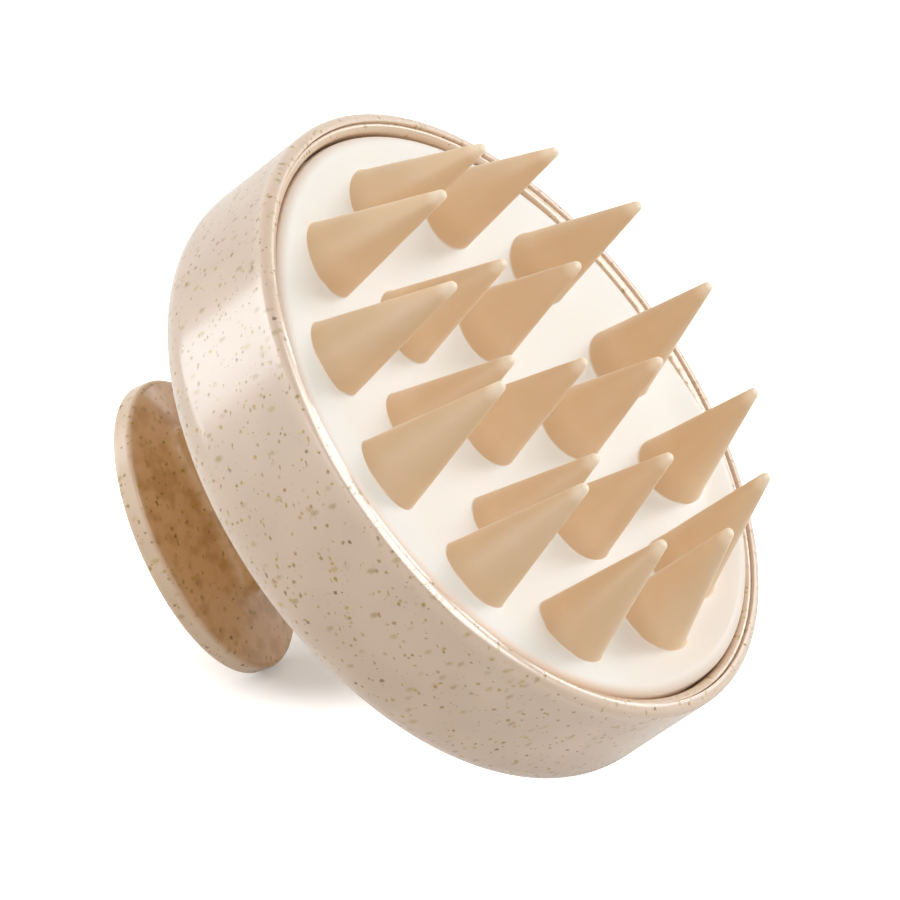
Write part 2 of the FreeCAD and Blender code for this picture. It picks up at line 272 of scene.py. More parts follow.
def namedAttribute(tree, name, kind):
    node = tree.nodes.new("GeometryNodeInputNamedAttribute")
    node.data_type = kind
    node.inputs["Name"].default_value = name
    return node.outputs["Attribute"]


def toothRingTree():
    # sets one tooth on each place of a ring, turned about z by "turn" and bent over by "sway"
    tree = bpy.data.node_groups.new("toothRing", "GeometryNodeTree")
    face = tree.interface
    face.new_socket("Places", in_out="INPUT", socket_type="NodeSocketGeometry")
    face.new_socket("Tooth", in_out="INPUT", socket_type="NodeSocketObject")
    face.new_socket("Finish", in_out="INPUT", socket_type="NodeSocketMaterial")
    face.new_socket("Geometry", in_out="OUTPUT", socket_type="NodeSocketGeometry")
    nodes = tree.nodes
    given = nodes.new("NodeGroupInput")
    tooth = nodes.new("GeometryNodeObjectInfo")
    spin = nodes.new("FunctionNodeAxisAngleToRotation")
    spin.inputs["Axis"].default_value = (0, 0, 1)
    spread = nodes.new("GeometryNodeInstanceOnPoints")
    real = nodes.new("GeometryNodeRealizeInstances")
    shift = nodes.new("ShaderNodeVectorMath")
    shift.operation = "SCALE"
    bend = nodes.new("GeometryNodeSetPosition")
    finish = nodes.new("GeometryNodeSetMaterial")
    result = nodes.new("NodeGroupOutput")
    link(tree, given.outputs["Tooth"], tooth.inputs["Object"])
    link(tree, given.outputs["Places"], spread.inputs["Points"])
    link(tree, tooth.outputs["Geometry"], spread.inputs["Instance"])
    link(tree, namedAttribute(tree, "turn", "FLOAT"), spin.inputs["Angle"])
    link(tree, spin.outputs[0], spread.inputs["Rotation"])
    link(tree, spread.outputs[0], real.inputs[0])
    link(tree, namedAttribute(tree, "sway", "FLOAT_VECTOR"), shift.inputs[0])
    link(tree, namedAttribute(tree, "alongTooth", "FLOAT"), shift.inputs["Scale"])
    link(tree, real.outputs[0], bend.inputs["Geometry"])
    link(tree, shift.outputs[0], bend.inputs["Offset"])
    link(tree, bend.outputs[0], finish.inputs["Geometry"])
    link(tree, given.outputs["Finish"], finish.inputs["Material"])
    link(tree, finish.outputs[0], result.inputs[0])
    return tree


def setInput(modifier, name, value):
    modifier[modifier.node_group.interface.items_tree[name].identifier] = value


def toothTurns(ring):
    # each tooth's place round its ring, in radians
    turns = [math.radians(ring["turn"]) + 2 * math.pi * i / ring["count"] for i in range(ring["count"])]
    for stance in ring["stances"]:
        turns[stance["tooth"]] += math.radians(stance["nudge"])
    return turns


def toothSways(ring):
    # how far each tip is bent over, in the head's frame
    sways = [Vector((0, 0, 0)) for _ in range(ring["count"])]
    turns = toothTurns(ring)
    for stance in ring["stances"]:
        turn = Matrix.Rotation(turns[stance["tooth"]], 3, "Z")
        sways[stance["tooth"]] = turn @ Vector((*stance["sway"], 0))
    return sways


def ringOfTeeth(tree, ring, finish):
    source = newPiece("oneTooth", toothMesh("oneTooth", ring))
    places = bpy.data.meshes.new("toothPlaces")
    places.from_pydata([(0, 0, 0)] * ring["count"], [], [])
    turns = places.attributes.new("turn", "FLOAT", "POINT")
    turns.data.foreach_set("value", toothTurns(ring))
    sways = places.attributes.new("sway", "FLOAT_VECTOR", "POINT")
    sways.data.foreach_set("vector", [x for sway in toothSways(ring) for x in sway])
    holder = newPiece("toothPlaces", places)
    modifier = holder.modifiers.new("toothRing", "NODES")
    modifier.node_group = tree
    setInput(modifier, "Tooth", source)
    setInput(modifier, "Finish", finish)
    ready = holder.evaluated_get(bpy.context.evaluated_depsgraph_get())
    mesh = bpy.data.meshes.new_from_object(ready)
    for name in ("turn", "sway"):
        mesh.attributes.remove(mesh.attributes[name])
    bpy.data.objects.remove(holder)
    bpy.data.objects.remove(source)
    return mesh


def footLoops():
    # each tooth's foot on the dish, as plan points in the head's frame
    loops = []
    for ring in teeth["rings"]:
        row = toothRows(ring)[0][0]
        for turn in toothTurns(ring):
            spin = Matrix.Rotation(turn, 3, "Z")
            loops.append([(spin @ point).to_2d() for point in row])
    return loops


def dishFaces(bm):
    # the dish between the teeth's feet, spread over its plan and lifted on to the sphere
    loops = footLoops()
    edge = [2 * math.pi * i / pad["segments"] for i in range(pad["segments"])]
    loops.append([Vector((dishEdge * math.cos(t), dishEdge * math.sin(t))) for t in edge])
    points, edges = [], []
    for loop in loops:
        first = len(points)
        points += loop
        edges += [(first + i, first + (i + 1) % len(loop)) for i in range(len(loop))]
    feet = []
    for loop in loops[:-1]:
        centre = sum(loop, Vector((0, 0))) / len(loop)
        feet.append((centre, max((p - centre).length for p in loop)))
    step = pad["dishStep"]      # a grid of even triangles
    rows = math.ceil(dishEdge / step)
    for row in range(-rows, rows + 1):
        for column in range(-rows, rows + 1):
            spot = Vector(((column + 0.5 * (row % 2)) * step, row * step * math.sqrt(0.75)))
            clear = all((spot - centre).length > reach + step / 2 for centre, reach in feet)
            if clear and spot.length < dishEdge - step / 2:
                points.append(spot)
    insideOnly, tolerance = 1, 1e-6
    spots, _, faces, origins, _, _ = delaunay_2d_cdt(points, edges, [], insideOnly, tolerance)
    ends = [0]
    for loop in loops:
        ends.append(ends[-1] + len(loop))
    owner = {}
    for new, old in enumerate(origins):
        for number in range(len(loops) - 1):
            if old and ends[number] <= old[0] < ends[number + 1]:
                owner[new] = number
    verts = [bm.verts.new((p.x, p.y, dishHeight(p.length, pad["dishRadius"]))) for p in spots]
    for face in faces:
        owners = {owner.get(corner) for corner in face}
        if len(owners) == 1 and None not in owners:
            continue        # under a tooth
        bm.faces.new([verts[corner] for corner in face])


def padBody(bm):
    # rolled edge, skirt, flange and underside, from the dish's edge round to the axis
    under = pad["dishRadius"] + pad["thickness"]
    inner = pad["radius"] - pad["skirt"]
    rollStart = math.asin(rollCentre[0] / rollReach)
    profile = arc(rollCentre, pad["edgeRadius"], math.pi / 2 + rollStart, 0, pad["rollSteps"])
    profile += [(pad["radius"], pad["flangeTop"]), (pad["flangeRadius"], pad["flangeTop"])]
    profile += [(pad["flangeRadius"], pad["flangeBottom"]), (inner, pad["flangeBottom"])]
    for i in range(pad["underSteps"], -1, -1):
        radius = inner * i / pad["underSteps"]
        profile.append((radius, dishHeight(radius, under)))
    lathe(bm, profile, pad["segments"])


def ease(value, low, high):
    share = min(1, max(0, (value - low) / (high - low)))
    return share * share * (3 - 2 * share)


def swellEdge(bm):
    # the soft edge sits unevenly in the ring
    for vert in bm.verts:
        turn = math.degrees(math.atan2(vert.co.y, vert.co.x))
        rise = 0
        for swell in pad["swells"]:
            away = abs((turn - swell["turn"] + 180) % 360 - 180)
            rise += swell["rise"] * (1 - ease(away, swell["full"], swell["none"]))
        reach = ease(math.hypot(vert.co.x, vert.co.y), *pad["swellReach"])
        vert.co.z += rise * reach * ease(vert.co.z, *pad["swellFoot"])


def makePad(finish):
    bm = bmesh.new()
    bm.verts.layers.float.new("alongTooth")
    padBody(bm)
    dishFaces(bm)
    tree = toothRingTree()
    for ring in teeth["rings"]:
        bm.from_mesh(ringOfTeeth(tree, ring, finish))
    bmesh.ops.remove_doubles(bm, verts=bm.verts, dist=pad["weld"])
    bmesh.ops.recalc_face_normals(bm, faces=bm.faces)
    openEdges = sum(not e.is_manifold for e in bm.edges)
    swellEdge(bm)
    bmesh.ops.transform(bm, matrix=headFrame @ Matrix.Scale(mm, 4), verts=bm.verts)
    for face in bm.faces:
        face.smooth = True
        face.material_index = 0
    mesh = bpy.data.meshes.new("siliconePad")
    bm.to_mesh(mesh)
    bm.free()
    mesh.materials.append(finish)
    mesh.set_sharp_from_angle(angle=math.radians(pad["sharpAngle"]))
    piece = newPiece("siliconePad", mesh)
    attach(piece, "pad_insert")
    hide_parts("bristle_pad")
    print("silicone pad:", len(mesh.polygons), "faces,", openEdges, "open edges")


# Finishes

def newMaterial(name):
    material = bpy.data.materials.new(name)
    material.use_nodes = True
    tree = material.node_tree
    return material, tree, tree.nodes["Principled BSDF"]


def addNode(tree, kind, **settings):
    node = tree.nodes.new(kind)
    for name, value in settings.items():
        if hasattr(node, name):
            setattr(node, name, value)
        else:
            node.inputs[name.replace("_", " ")].default_value = value
    return node


def mathNode(tree, operation, first, second=None, third=None):
    node = tree.nodes.new("ShaderNodeMath")
    node.operation = operation
    for socket, value in zip(node.inputs, (first, second, third)):
        if isinstance(value, (int, float)):
            socket.default_value = value
        elif value is not None:
            link(tree, value, socket)
    return node.outputs[0]


def mixColour(tree, factor, first, second):
    node = tree.nodes.new("ShaderNodeMix")
    node.data_type = "RGBA"
    for socket, value in ((node.inputs[0], factor), (node.inputs[6], first), (node.inputs[7], second)):
        if isinstance(value, (int, float, tuple)):
            socket.default_value = value
        else:
            link(tree, value, socket)
    return node.outputs[2]


def smoothStep(tree, value, low, high):
    node = tree.nodes.new("ShaderNodeMapRange")
    node.interpolation_type = "SMOOTHSTEP"
    for name, given in (("Value", value), ("From Min", low), ("From Max", high)):
        if isinstance(given, (int, float)):
            node.inputs[name].default_value = given
        else:
            link(tree, given, node.inputs[name])
    return node.outputs[0]


def newGroup(name, inputs, outputs):
    tree = bpy.data.node_groups.new(name, "ShaderNodeTree")
    for title, kind, value in inputs:
        socket = tree.interface.new_socket(title, in_out="INPUT", socket_type=kind)
        socket.default_value = value
    for title, kind in outputs:
        tree.interface.new_socket(title, in_out="OUTPUT", socket_type=kind)
    return tree, tree.nodes.new("NodeGroupInput").outputs, tree.nodes.new("NodeGroupOutput").inputs


def useGroup(tree, group, **values):
    node = tree.nodes.new("ShaderNodeGroup")
    node.node_tree = group
    for name, value in values.items():
        node.inputs[name].default_value = value
    return node.outputs


fleckShape = dict(
    raggedScale=2600.0,     # of the noise that frays a grain's edge, per metre
    raggedShift=0.0004,     # metres that it moves the edge
    leastSize=0.3,          # the smallest grain's share of the size
)


def flecksGroup():
    # scattered grains with ragged edges: a mask, and one random shade for each grain
    tree, given, out = newGroup("flecks", (
        ("Scale", "NodeSocketFloat", 600.0),        # grains' cells per metre
        ("Size", "NodeSocketFloat", 0.25),          # share of a cell
        ("Share", "NodeSocketFloat", 0.4),          # of the cells that hold a grain
        ("Softness", "NodeSocketFloat", 0.1),
        ("Turn", "NodeSocketVector", (0, 0, 0)),
        ("Stretch", "NodeSocketVector", (1, 1, 1)),
    ), (("Mask", "NodeSocketFloat"), ("Shade", "NodeSocketFloat")))
    place = addNode(tree, "ShaderNodeTexCoord")
    ragged = addNode(tree, "ShaderNodeTexNoise", Scale=fleckShape["raggedScale"], Detail=1.0)
    link(tree, place.outputs["Object"], ragged.inputs["Vector"])
    shift = addNode(tree, "ShaderNodeVectorMath", operation="MULTIPLY_ADD")
    shift.inputs[1].default_value = [fleckShape["raggedShift"]] * 3
    link(tree, ragged.outputs["Color"], shift.inputs[0])
    link(tree, place.outputs["Object"], shift.inputs[2])
    mapping = addNode(tree, "ShaderNodeMapping", vector_type="TEXTURE")
    link(tree, shift.outputs[0], mapping.inputs["Vector"])
    link(tree, given["Turn"], mapping.inputs["Rotation"])
    link(tree, given["Stretch"], mapping.inputs["Scale"])
    cells = addNode(tree, "ShaderNodeTexVoronoi")
    link(tree, mapping.outputs[0], cells.inputs["Vector"])
    link(tree, given["Scale"], cells.inputs["Scale"])
    chance = addNode(tree, "ShaderNodeSeparateColor")
    link(tree, cells.outputs["Color"], chance.inputs[0])
    least = fleckShape["leastSize"]
    spread = mathNode(tree, "MULTIPLY_ADD", chance.outputs["Red"], 1 - least, least)
    size = mathNode(tree, "MULTIPLY", spread, given["Size"])
    edge = mathNode(tree, "ADD", size, given["Softness"])
    body = mathNode(tree, "SUBTRACT", 1.0, smoothStep(tree, cells.outputs["Distance"], size, edge))
    there = mathNode(tree, "LESS_THAN", chance.outputs["Green"], given["Share"])
    link(tree, mathNode(tree, "MULTIPLY", body, there), out["Mask"])
    link(tree, chance.outputs["Blue"], out["Shade"])
    return tree


unevenNoise = dict(
    details=dict(Cloud=1.0, Grain=2.0),
    roughness=0.55,
)


def unevenGroup():
    # slow clouds over a moulding, and a fine grain on its skin
    tree, given, out = newGroup("uneven", (
        ("Cloud Scale", "NodeSocketFloat", 90.0),
        ("Grain Scale", "NodeSocketFloat", 2500.0),
    ), (("Cloud", "NodeSocketFloat"), ("Grain", "NodeSocketFloat")))
    place = addNode(tree, "ShaderNodeTexCoord")
    for name, detail in unevenNoise["details"].items():
        noise = addNode(tree, "ShaderNodeTexNoise", Detail=detail, Roughness=unevenNoise["roughness"])
        link(tree, place.outputs["Object"], noise.inputs["Vector"])
        link(tree, given[name + " Scale"], noise.inputs["Scale"])
        link(tree, noise.outputs["Fac"], out[name])
    return tree


def headPlaceGroup():
    # in metres: a point's distance from the head's axis, its height over the rim,
    # and how far it is to one side
    tree, given, out = newGroup("headPlace", (("Side", "NodeSocketVector", (1, 0, 0)),), (
        ("Radius", "NodeSocketFloat"),
        ("Height", "NodeSocketFloat"),
        ("Sideways", "NodeSocketFloat"),
    ))
    place = addNode(tree, "ShaderNodeTexCoord")
    offset = addNode(tree, "ShaderNodeVectorMath", operation="SUBTRACT")
    offset.inputs[1].default_value = headFrame.translation
    link(tree, place.outputs["Object"], offset.inputs[0])
    axis = headFrame.col[2].to_3d()
    lever = addNode(tree, "ShaderNodeVectorMath", operation="CROSS_PRODUCT")
    lever.inputs[1].default_value = axis
    link(tree, offset.outputs[0], lever.inputs[0])
    radius = addNode(tree, "ShaderNodeVectorMath", operation="LENGTH")
    link(tree, lever.outputs[0], radius.inputs[0])
    link(tree, radius.outputs["Value"], out["Radius"])
    height = addNode(tree, "ShaderNodeVectorMath", operation="DOT_PRODUCT")
    height.inputs[1].default_value = axis
    link(tree, offset.outputs[0], height.inputs[0])
    link(tree, height.outputs["Value"], out["Height"])
    sideways = addNode(tree, "ShaderNodeVectorMath", operation="DOT_PRODUCT")
    link(tree, offset.outputs[0], sideways.inputs[0])
    link(tree, given["Side"], sideways.inputs[1])
    link(tree, sideways.outputs["Value"], out["Sideways"])
    return tree


flecks = flecksGroup()
uneven = unevenGroup()
headPlace = headPlaceGroup()


def cloudsAndGrain(tree, look):
    scales = {"Cloud Scale": look["cloudScale"], "Grain Scale": look["grainScale"]}
    return useGroup(tree, uneven, **scales)


def skinRoughness(tree, shader, grain, look):
    low, high = look["roughness"]
    rough = mathNode(tree, "MULTIPLY_ADD", grain, high - low, low)
    link(tree, rough, shader.inputs["Roughness"])


def skinBump(tree, shader, grain, look):
    bump = addNode(tree, "ShaderNodeBump", Strength=look["bumpStrength"], Distance=look["bump"])
    link(tree, grain, bump.inputs["Height"])
    link(tree, bump.outputs[0], shader.inputs["Normal"])


plasticLook = dict(
    colour=(0.69, 0.547, 0.44, 1),
    paler=(0.73, 0.582, 0.47, 1),
    # painted light: the rim's top band is painted paler, standing in for the light that falls on it
    paintedLitLip=(0.80, 0.64, 0.52, 1),
    paintedLitLipRise=(-0.0028, -0.0006),     # metres under the rim over which the thin top band is painted paler, a painted light for the light that it catches
    cloudScale=120.0,   # per metre, as is the grain's
    cloudRange=(0.35, 0.65),
    grainScale=1400.0,
    roughness=(0.22, 0.26),
    bump=0.000005,      # metres
    bumpStrength=0.3,
    specular=0.55,
    coat=0.25,
    coatRoughness=0.12,
    layers=(            # husk deep in the moulding, husk near its skin, fibres, fine dots
        dict(scale=560.0, size=0.08, share=0.85, softness=0.24,
             strength=0.5, stretch=(1, 1, 1.6), darkest=0.2),
        dict(scale=800.0, size=0.1, share=0.75, softness=0.2,
             strength=0.8, stretch=(1, 1.3, 1), darkest=0.06),
        dict(scale=1000.0, size=0.09, share=0.65, softness=0.16,
             strength=0.8, stretch=(1, 1, 2.4), darkest=0.04),
        dict(scale=1600.0, size=0.12, share=0.3, softness=0.12,
             strength=0.9, stretch=(1, 1, 1), darkest=0.0),
    ),
    layerTurn=(0.4, 0.9, 0.3),      # radians from each layer to the next
    fleckColours=(      # by shade: dark brown, olive, straw, rust
        (0.0, (0.15, 0.07, 0.0, 1)),
        (0.1, (0.31, 0.205, 0.0, 1)),
        (0.5, (0.46, 0.32, 0.02, 1)),
        (0.86, (0.38, 0.20, 0.05, 1)),
    ),
)

ringLook = dict(
    plasticLook,
    colour=(0.70, 0.53, 0.38, 1),
    paler=(0.73, 0.56, 0.41, 1),
    paintedLitLip=(0.72, 0.545, 0.395, 1),
    specular=0.6,
    coat=0.15,
)

# The palm grip is the shell's plastic with painted light and shade: paler where the plate's edge catches
# light, and painted in darker, browner shade, in patches, on its face and neck under the head
gripLook = dict(
    plasticLook,
    colour=(0.76, 0.59, 0.44, 1),
    paler=(0.79, 0.62, 0.47, 1),
    paintedShade=(0.70, 0.45, 0.23, 1),
    paintedShadeDeepest=(0.57, 0.335, 0.15, 1),
    paintedShadeRise=(0.0022, 0.0032),    # metres above the palm face over which the painted shade sets in: the plate's edge stays pale
    shadeMottleScale=380.0,
    shadeMottleRange=(0.42, 0.68),
    specular=0.5,
    coat=0.1,
)


def plasticFinish(name, look):
    material, tree, shader = newMaterial(name)
    clouds = cloudsAndGrain(tree, look)
    shade = smoothStep(tree, clouds["Cloud"], *look["cloudRange"])
    colour = mixColour(tree, shade, look["colour"], look["paler"])
    # painted light: the rim's top band under the rim is painted paler
    paintedLitLip = smoothStep(tree, useGroup(tree, headPlace)["Height"], *look["paintedLitLipRise"])
    colour = mixColour(tree, paintedLitLip, colour, look["paintedLitLip"])
    # painted shade on the grip's face and neck, in patches, above the plate's edge
    if "paintedShade" in look:
        ground = addNode(tree, "ShaderNodeTexCoord")
        rise = addNode(tree, "ShaderNodeSeparateXYZ")
        link(tree, ground.outputs["Object"], rise.inputs[0])
        inner = smoothStep(tree, rise.outputs["Z"], *look["paintedShadeRise"])
        shadeMottle = addNode(tree, "ShaderNodeTexNoise", Scale=look["shadeMottleScale"], Detail=2.0)
        link(tree, ground.outputs["Object"], shadeMottle.inputs["Vector"])
        shadeBlotch = smoothStep(tree, shadeMottle.outputs["Fac"], *look["shadeMottleRange"])
        colour = mixColour(tree, inner, colour, mixColour(tree, shadeBlotch, look["paintedShade"], look["paintedShadeDeepest"]))
    for number, layer in enumerate(look["layers"]):
        turn = [number * angle for angle in look["layerTurn"]]
        grains = useGroup(tree, flecks, Scale=layer["scale"], Size=layer["size"], Share=layer["share"],
                          Softness=layer["softness"], Turn=turn, Stretch=layer["stretch"])
        shades = addNode(tree, "ShaderNodeValToRGB")
        shades.color_ramp.interpolation = "CONSTANT"
        for spot, tint in look["fleckColours"]:
            stop = shades.color_ramp.elements.new(spot) if spot else shades.color_ramp.elements[0]
            stop.color = tint
        shades.color_ramp.elements.remove(shades.color_ramp.elements[-1])   # the ramp's own
        link(tree, mathNode(tree, "MAXIMUM", grains["Shade"], layer["darkest"]), shades.inputs[0])
        mask = mathNode(tree, "MULTIPLY", grains["Mask"], layer["strength"])
        colour = mixColour(tree, mask, colour, shades.outputs[0])
    link(tree, colour, shader.inputs["Base Color"])
    skinRoughness(tree, shader, clouds["Grain"], look)
    skinBump(tree, shader, clouds["Grain"], look)
    shader.inputs["Specular IOR Level"].default_value = look["specular"]
    shader.inputs["Coat Weight"].default_value = look["coat"]
    shader.inputs["Coat Roughness"].default_value = look["coatRoughness"]
    return material


siliconeLook = dict(
    cream=(0.863, 0.86, 0.84, 1),
    # painted warm bounce light and shade, on the dish's roll and to one side
    paintedBouncePeach=(0.83, 0.57, 0.37, 1),
    # painted shade down in the gap round the pad
    seamBrown=(0.5, 0.3, 0.15, 1),
    tan=(0.815, 0.595, 0.375, 1),
    # painted shade at the teeth's feet
    rootShadeTan=(0.65, 0.43, 0.235, 1),
    # painted light on the teeth's thin tips
    tipPaintedLight=(1.0, 0.83, 0.65, 1),
    edge=(0.0376, 0.0396),      # metres from the head's axis over which the roll is painted warm, a painted shade with warm bounce light
    rollShadeShare=(0.3, 1.0),       # of the painted warm shade, all round and on the low side
    seam=(0.0393, 0.0396),      # metres from the axis over which it is painted brown, a painted shade down in the gap
    lowTurn=300.0,              # degrees round the head, where the edge sits low in the ring
    lowShadeSide=(0.028, 0.038),     # metres to that side over which the painted warm shade grows
    paintedBounceTurn=10.0,              # degrees round the head, where the dish is painted warmer, a painted warm bounce light
    paintedBounceSide=(0.025, 0.035),    # metres to that side over which the painted warmth grows
    paintedBounceShare=0.2,
    root=(0.008, 0.02),         # share of a tooth's height over which it turns tan
    rootShadeReach=(0.0, 0.2),       # and over which its painted shade at the foot fades
    tip=(0.86, 0.97),           # and over which its tip is painted pale, a painted light for light through the thin tip
    rootShadeDepth=0.5,              # share of the painted foot shade at the very bottom
    tanCloud=(0.85, 1.15),      # share of tan, from cloud to cloud
    cloudScale=260.0,           # per metre, as is the grain's
    grainScale=4000.0,
    roughness=0.6,              # of the dish
    toothRoughness=0.42,
    tipRoughness=0.25,          # that a tip adds to its tooth's
    grainRoughness=0.06,        # that the grain adds
    specular=0.6,
    bump=0.00001,               # metres
    bumpStrength=0.2,
    sheen=0.35,
    sheenRoughness=0.3,
    sheenTint=(1.0, 0.94, 0.88, 1),
    translucence=0.2,
    depth=0.0012,               # metres that light goes in
    depthTint=(1.0, 0.85, 0.7),
)


def headSide(degrees):
    # the way out from the head's axis, at a turn round the head
    turn = math.radians(degrees)
    return headFrame.to_3x3() @ Vector((math.cos(turn), math.sin(turn), 0))


def siliconeFinish(look):
    material, tree, shader = newMaterial("creamSilicone")
    clouds = cloudsAndGrain(tree, look)
    along = addNode(tree, "ShaderNodeAttribute", attribute_name="alongTooth").outputs["Fac"]
    flank = smoothStep(tree, along, *look["root"])
    tip = smoothStep(tree, along, *look["tip"])

    # the dish: cream, with painted warm bounce light to one side, a painted warm shade on the roll and a
    # painted brown shade down in the gap
    bouncePlace = useGroup(tree, headPlace, Side=headSide(look["paintedBounceTurn"]))
    warm = smoothStep(tree, bouncePlace["Sideways"], *look["paintedBounceSide"])
    warm = mathNode(tree, "MULTIPLY", warm, look["paintedBounceShare"])
    colour = mixColour(tree, warm, look["cream"], look["paintedBouncePeach"])
    # painted shade on the roll, strongest on its low side
    place = useGroup(tree, headPlace, Side=headSide(look["lowTurn"]))
    near = smoothStep(tree, place["Sideways"], *look["lowShadeSide"])
    least, most = look["rollShadeShare"]
    rollShadeShare = mathNode(tree, "MULTIPLY_ADD", near, most - least, least)
    edge = smoothStep(tree, place["Radius"], *look["edge"])
    edge = mathNode(tree, "MULTIPLY", edge, rollShadeShare)
    colour = mixColour(tree, edge, colour, look["paintedBouncePeach"])
    # painted shade down in the gap
    seam = smoothStep(tree, place["Radius"], *look["seam"])
    colour = mixColour(tree, seam, colour, look["seamBrown"])

    # the teeth: tan, with painted shade at the foot and painted light at the tip
    climbed = smoothStep(tree, along, *look["rootShadeReach"])
    paintedShade = mathNode(tree, "MULTIPLY_ADD", climbed, -look["rootShadeDepth"], look["rootShadeDepth"])
    tan = mixColour(tree, paintedShade, look["tan"], look["rootShadeTan"])
    least, most = look["tanCloud"]
    tanShare = mathNode(tree, "MULTIPLY_ADD", clouds["Cloud"], most - least, least)
    tanShare = mathNode(tree, "MULTIPLY", flank, tanShare)
    colour = mixColour(tree, tanShare, colour, tan)
    colour = mixColour(tree, tip, colour, look["tipPaintedLight"])
    link(tree, colour, shader.inputs["Base Color"])

    smoother = look["toothRoughness"] - look["roughness"]
    roughness = mathNode(tree, "MULTIPLY_ADD", flank, smoother, look["roughness"])
    roughness = mathNode(tree, "MULTIPLY_ADD", tip, look["tipRoughness"], roughness)
    roughness = mathNode(tree, "MULTIPLY_ADD", clouds["Grain"], look["grainRoughness"], roughness)
    link(tree, roughness, shader.inputs["Roughness"])
    skinBump(tree, shader, clouds["Grain"], look)
    shader.inputs["Specular IOR Level"].default_value = look["specular"]
    shader.inputs["Sheen Weight"].default_value = look["sheen"]
    shader.inputs["Sheen Roughness"].default_value = look["sheenRoughness"]
    shader.inputs["Sheen Tint"].default_value = look["sheenTint"]
    shader.inputs["Subsurface Weight"].default_value = look["translucence"]
    shader.inputs["Subsurface Radius"].default_value = look["depthTint"]
    shader.inputs["Subsurface Scale"].default_value = look["depth"]
    return material


plateLook = dict(
    colour=(0.70, 0.62, 0.52, 1),
    second=(0.75, 0.67, 0.57, 1),
    cloudScale=70.0,
    cloudRange=(0.3, 0.7),
    grainScale=3200.0,
    roughness=(0.5, 0.64),
    bump=0.00003,       # metres, a fine spark-eroded grain
    bumpStrength=0.5,
    metallic=0,
)

steelLook = dict(
    colour=(0.56, 0.56, 0.55, 1),
    second=(0.44, 0.44, 0.43, 1),
    cloudScale=500.0,
    cloudRange=(0.35, 0.65),
    grainScale=6000.0,
    roughness=(0.24, 0.42),
    bump=0.000008,      # metres, tool marks
    bumpStrength=0.4,
    metallic=1,
)


def innerFinish(name, look):
    # the plate and the screws inside, in two plain tones
    material, tree, shader = newMaterial(name)
    clouds = cloudsAndGrain(tree, look)
    shade = smoothStep(tree, clouds["Cloud"], *look["cloudRange"])
    colour = mixColour(tree, shade, look["colour"], look["second"])
    link(tree, colour, shader.inputs["Base Color"])
    shader.inputs["Metallic"].default_value = look["metallic"]
    skinRoughness(tree, shader, clouds["Grain"], look)
    skinBump(tree, shader, clouds["Grain"], look)
    return material


silicone = siliconeFinish(siliconeLook)
shellPlastic = plasticFinish("shellPlastic", plasticLook)
ringPlastic = plasticFinish("ringPlastic", ringLook)
gripPlasticPaintedLightAndShade = plasticFinish("gripPlasticPaintedLightAndShade", gripLook)
mattPlate = innerFinish("mattPlate", plateLook)
screwSteel = innerFinish("screwSteel", steelLook)
makePad(silicone)

finishes = dict(
    outer_shell=shellPlastic,
    retaining_ring=ringPlastic,
    grip_handle=gripPlasticPaintedLightAndShade,
    palm_cap=gripPlasticPaintedLightAndShade,
    backing_plate=mattPlate,
    plate_screws=screwSteel,
    neck_screws=screwSteel,
)
for name, finish in finishes.items():
    frame["nodes"][name].data.materials[0] = finish
print("finishes set")


# Stage: the brush lies on a pale table, on its shell's back edge and its palm plate's edge

table = dict(
    tilt=58.81,         # degrees that the table stands against the palm face
    size=1600.0,        # mm
    colour=(0.79, 0.80, 0.81, 1),
    roughness=0.9,
    lift=(0.22, 0.9),   # strength that the camera sees on top of the light, near and far; the low strength near paints a shadow
    mirrored=0.35,      # share of it that shows in glossy surfaces
    liftReach=(6.0, 22.0),      # mm from the contact shadow's middle
    contact=(21.0, 5.0, 3.0),   # mm, that middle, beside the palm plate's edge
)

# Directions are right, up and towards the camera in the photo's view, lengths in metres
lamps = dict(
    key=dict(
        where=(0.74, 0.60, -0.09), along=(-0.37, 0.0, 0.93), distance=0.75, size=(0.66, 0.17),
        power=2.6, tint=(0.93, 1.0, 1.05), glossOnly=False,
    ),
    window=dict(
        where=(-0.945, 0.30, -0.08), along=(-0.27, -0.48, 0.84), distance=0.6, size=(0.3, 0.2),
        power=0.85, tint=(0.90, 1.0, 1.07), glossOnly=False,
    ),
    fill=dict(
        where=(-0.9, 0.3, 0.3), along=(0.0, 1.0, 0.0), distance=0.7, size=(0.9, 0.9),
        power=1.2, tint=(0.94, 1.0, 1.08), glossOnly=False,
    ),
    rimCard=dict(       # a card that only shows in the rim's rounded edge
        where=(0.61, 0.32, 0.73), along=(0.594, -0.786, -0.169), distance=0.8, size=(1.0, 1.1),
        power=33.0, tint=(0.97, 0.99, 1.02), glossOnly=True,
    ),
    toothCard=dict(     # and one in the teeth
        where=(-0.65, -0.05, 0.70), along=(0.0, 1.0, 0.0), distance=0.7, size=(0.5, 0.5),
        power=1.1, tint=(0.9, 1.0, 1.16), glossOnly=True,
    ),
)

room = dict(
    ambient=0.61,
    tint=(1.0, 0.90, 0.775, 1),     # light that has been round a warm room
    backdrop=(1, 1, 1, 1),          # what the camera and glossy surfaces see
)


def tableNormal():
    tilt = math.radians(table["tilt"])
    return Vector((-math.sin(tilt), 0, math.cos(tilt)))


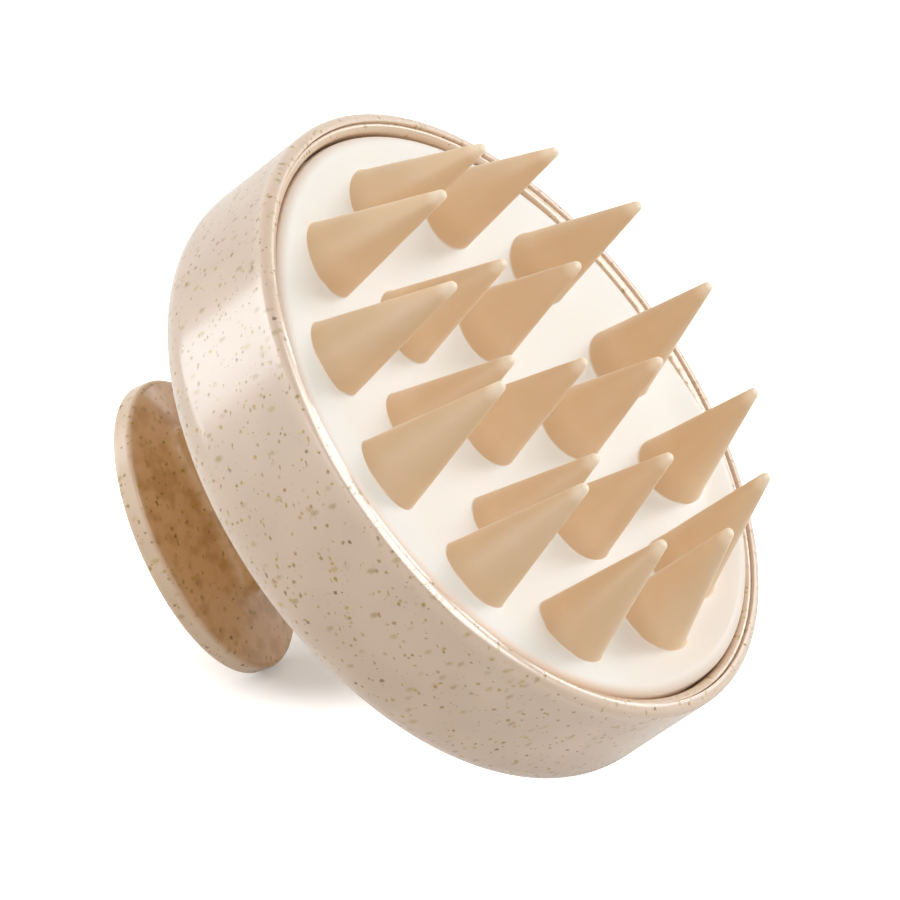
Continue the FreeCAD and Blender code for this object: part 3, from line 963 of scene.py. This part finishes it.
def tableFinish():
    material, tree, shader = newMaterial("paleTable")
    shader.inputs["Base Color"].default_value = table["colour"]
    shader.inputs["Roughness"].default_value = table["roughness"]
    shader.inputs["Specular IOR Level"].default_value = 0.0
    shader.inputs["Emission Color"].default_value = (1, 1, 1, 1)
    path = addNode(tree, "ShaderNodeLightPath")
    mirrored = mathNode(tree, "MULTIPLY", path.outputs["Is Glossy Ray"], table["mirrored"])
    seen = mathNode(tree, "MAXIMUM", path.outputs["Is Camera Ray"], mirrored)
    seen = mathNode(tree, "MAXIMUM", seen, path.outputs["Is Transmission Ray"])
    place = addNode(tree, "ShaderNodeTexCoord")
    away = addNode(tree, "ShaderNodeVectorMath", operation="DISTANCE")
    away.inputs[1].default_value = Vector(table["contact"]) * mm
    link(tree, place.outputs["Object"], away.inputs[0])
    # painted shadow: less lift near the contact point darkens the table there, on top of the real shadow
    far = smoothStep(tree, away.outputs["Value"], *[reach * mm for reach in table["liftReach"]])
    least, most = table["lift"]
    lift = mathNode(tree, "MULTIPLY_ADD", far, most - least, least)
    link(tree, mathNode(tree, "MULTIPLY", seen, lift), shader.inputs["Emission Strength"])
    behind = addNode(tree, "ShaderNodeNewGeometry")
    clear = addNode(tree, "ShaderNodeBsdfTransparent")
    choose = addNode(tree, "ShaderNodeMixShader")
    link(tree, behind.outputs["Backfacing"], choose.inputs[0])
    link(tree, shader.outputs[0], choose.inputs[1])
    link(tree, clear.outputs[0], choose.inputs[2])
    link(tree, choose.outputs[0], tree.nodes["Material Output"].inputs["Surface"])
    return material


def addTable():
    normal = tableNormal()
    low = min(v.co.dot(normal) for node in frame["nodes"].values() for v in node.data.vertices)
    bm = bmesh.new()
    bmesh.ops.create_grid(bm, x_segments=1, y_segments=1, size=table["size"] * mm / 2)
    turn = normal.to_track_quat("Z", "Y").to_matrix().to_4x4()
    bmesh.ops.transform(bm, matrix=Matrix.Translation(normal * low) @ turn, verts=bm.verts)
    mesh = bpy.data.meshes.new("paleTable")
    bm.to_mesh(mesh)
    bm.free()
    mesh.materials.append(tableFinish())
    newPiece("paleTable", mesh)


def addLamp(name, lamp):
    data = bpy.data.lights.new(name, "AREA")
    data.shape = "RECTANGLE"
    data.size, data.size_y = lamp["size"]
    data.energy = lamp["power"]
    data.color = lamp["tint"]
    where = viewAxes @ Vector(lamp["where"]).normalized()
    across = where.cross(viewAxes @ Vector(lamp["along"])).normalized()
    turn = Matrix((across.cross(where), across, where)).transposed()
    spot = headFrame.translation + where * lamp["distance"]
    holder = bpy.data.objects.new(name, data)
    holder.matrix_world = Matrix.Translation(spot) @ turn.to_4x4()
    holder.visible_diffuse = not lamp["glossOnly"]
    scene.collection.objects.link(holder)


def addRoom():
    world = bpy.data.worlds.new("softRoom")
    world.use_nodes = True
    tree = world.node_tree
    ground = tree.nodes["Background"]
    path = addNode(tree, "ShaderNodeLightPath")
    seen = mathNode(tree, "MAXIMUM", path.outputs["Is Camera Ray"], path.outputs["Is Glossy Ray"])
    seen = mathNode(tree, "MAXIMUM", seen, path.outputs["Is Transmission Ray"])
    link(tree, mixColour(tree, seen, room["tint"], room["backdrop"]), ground.inputs["Color"])
    strength = mathNode(tree, "MULTIPLY_ADD", seen, 1 - room["ambient"], room["ambient"])
    link(tree, strength, ground.inputs["Strength"])
    scene.world = world


addTable()
for name, lamp in lamps.items():
    addLamp(name, lamp)
addRoom()
print("stage set")
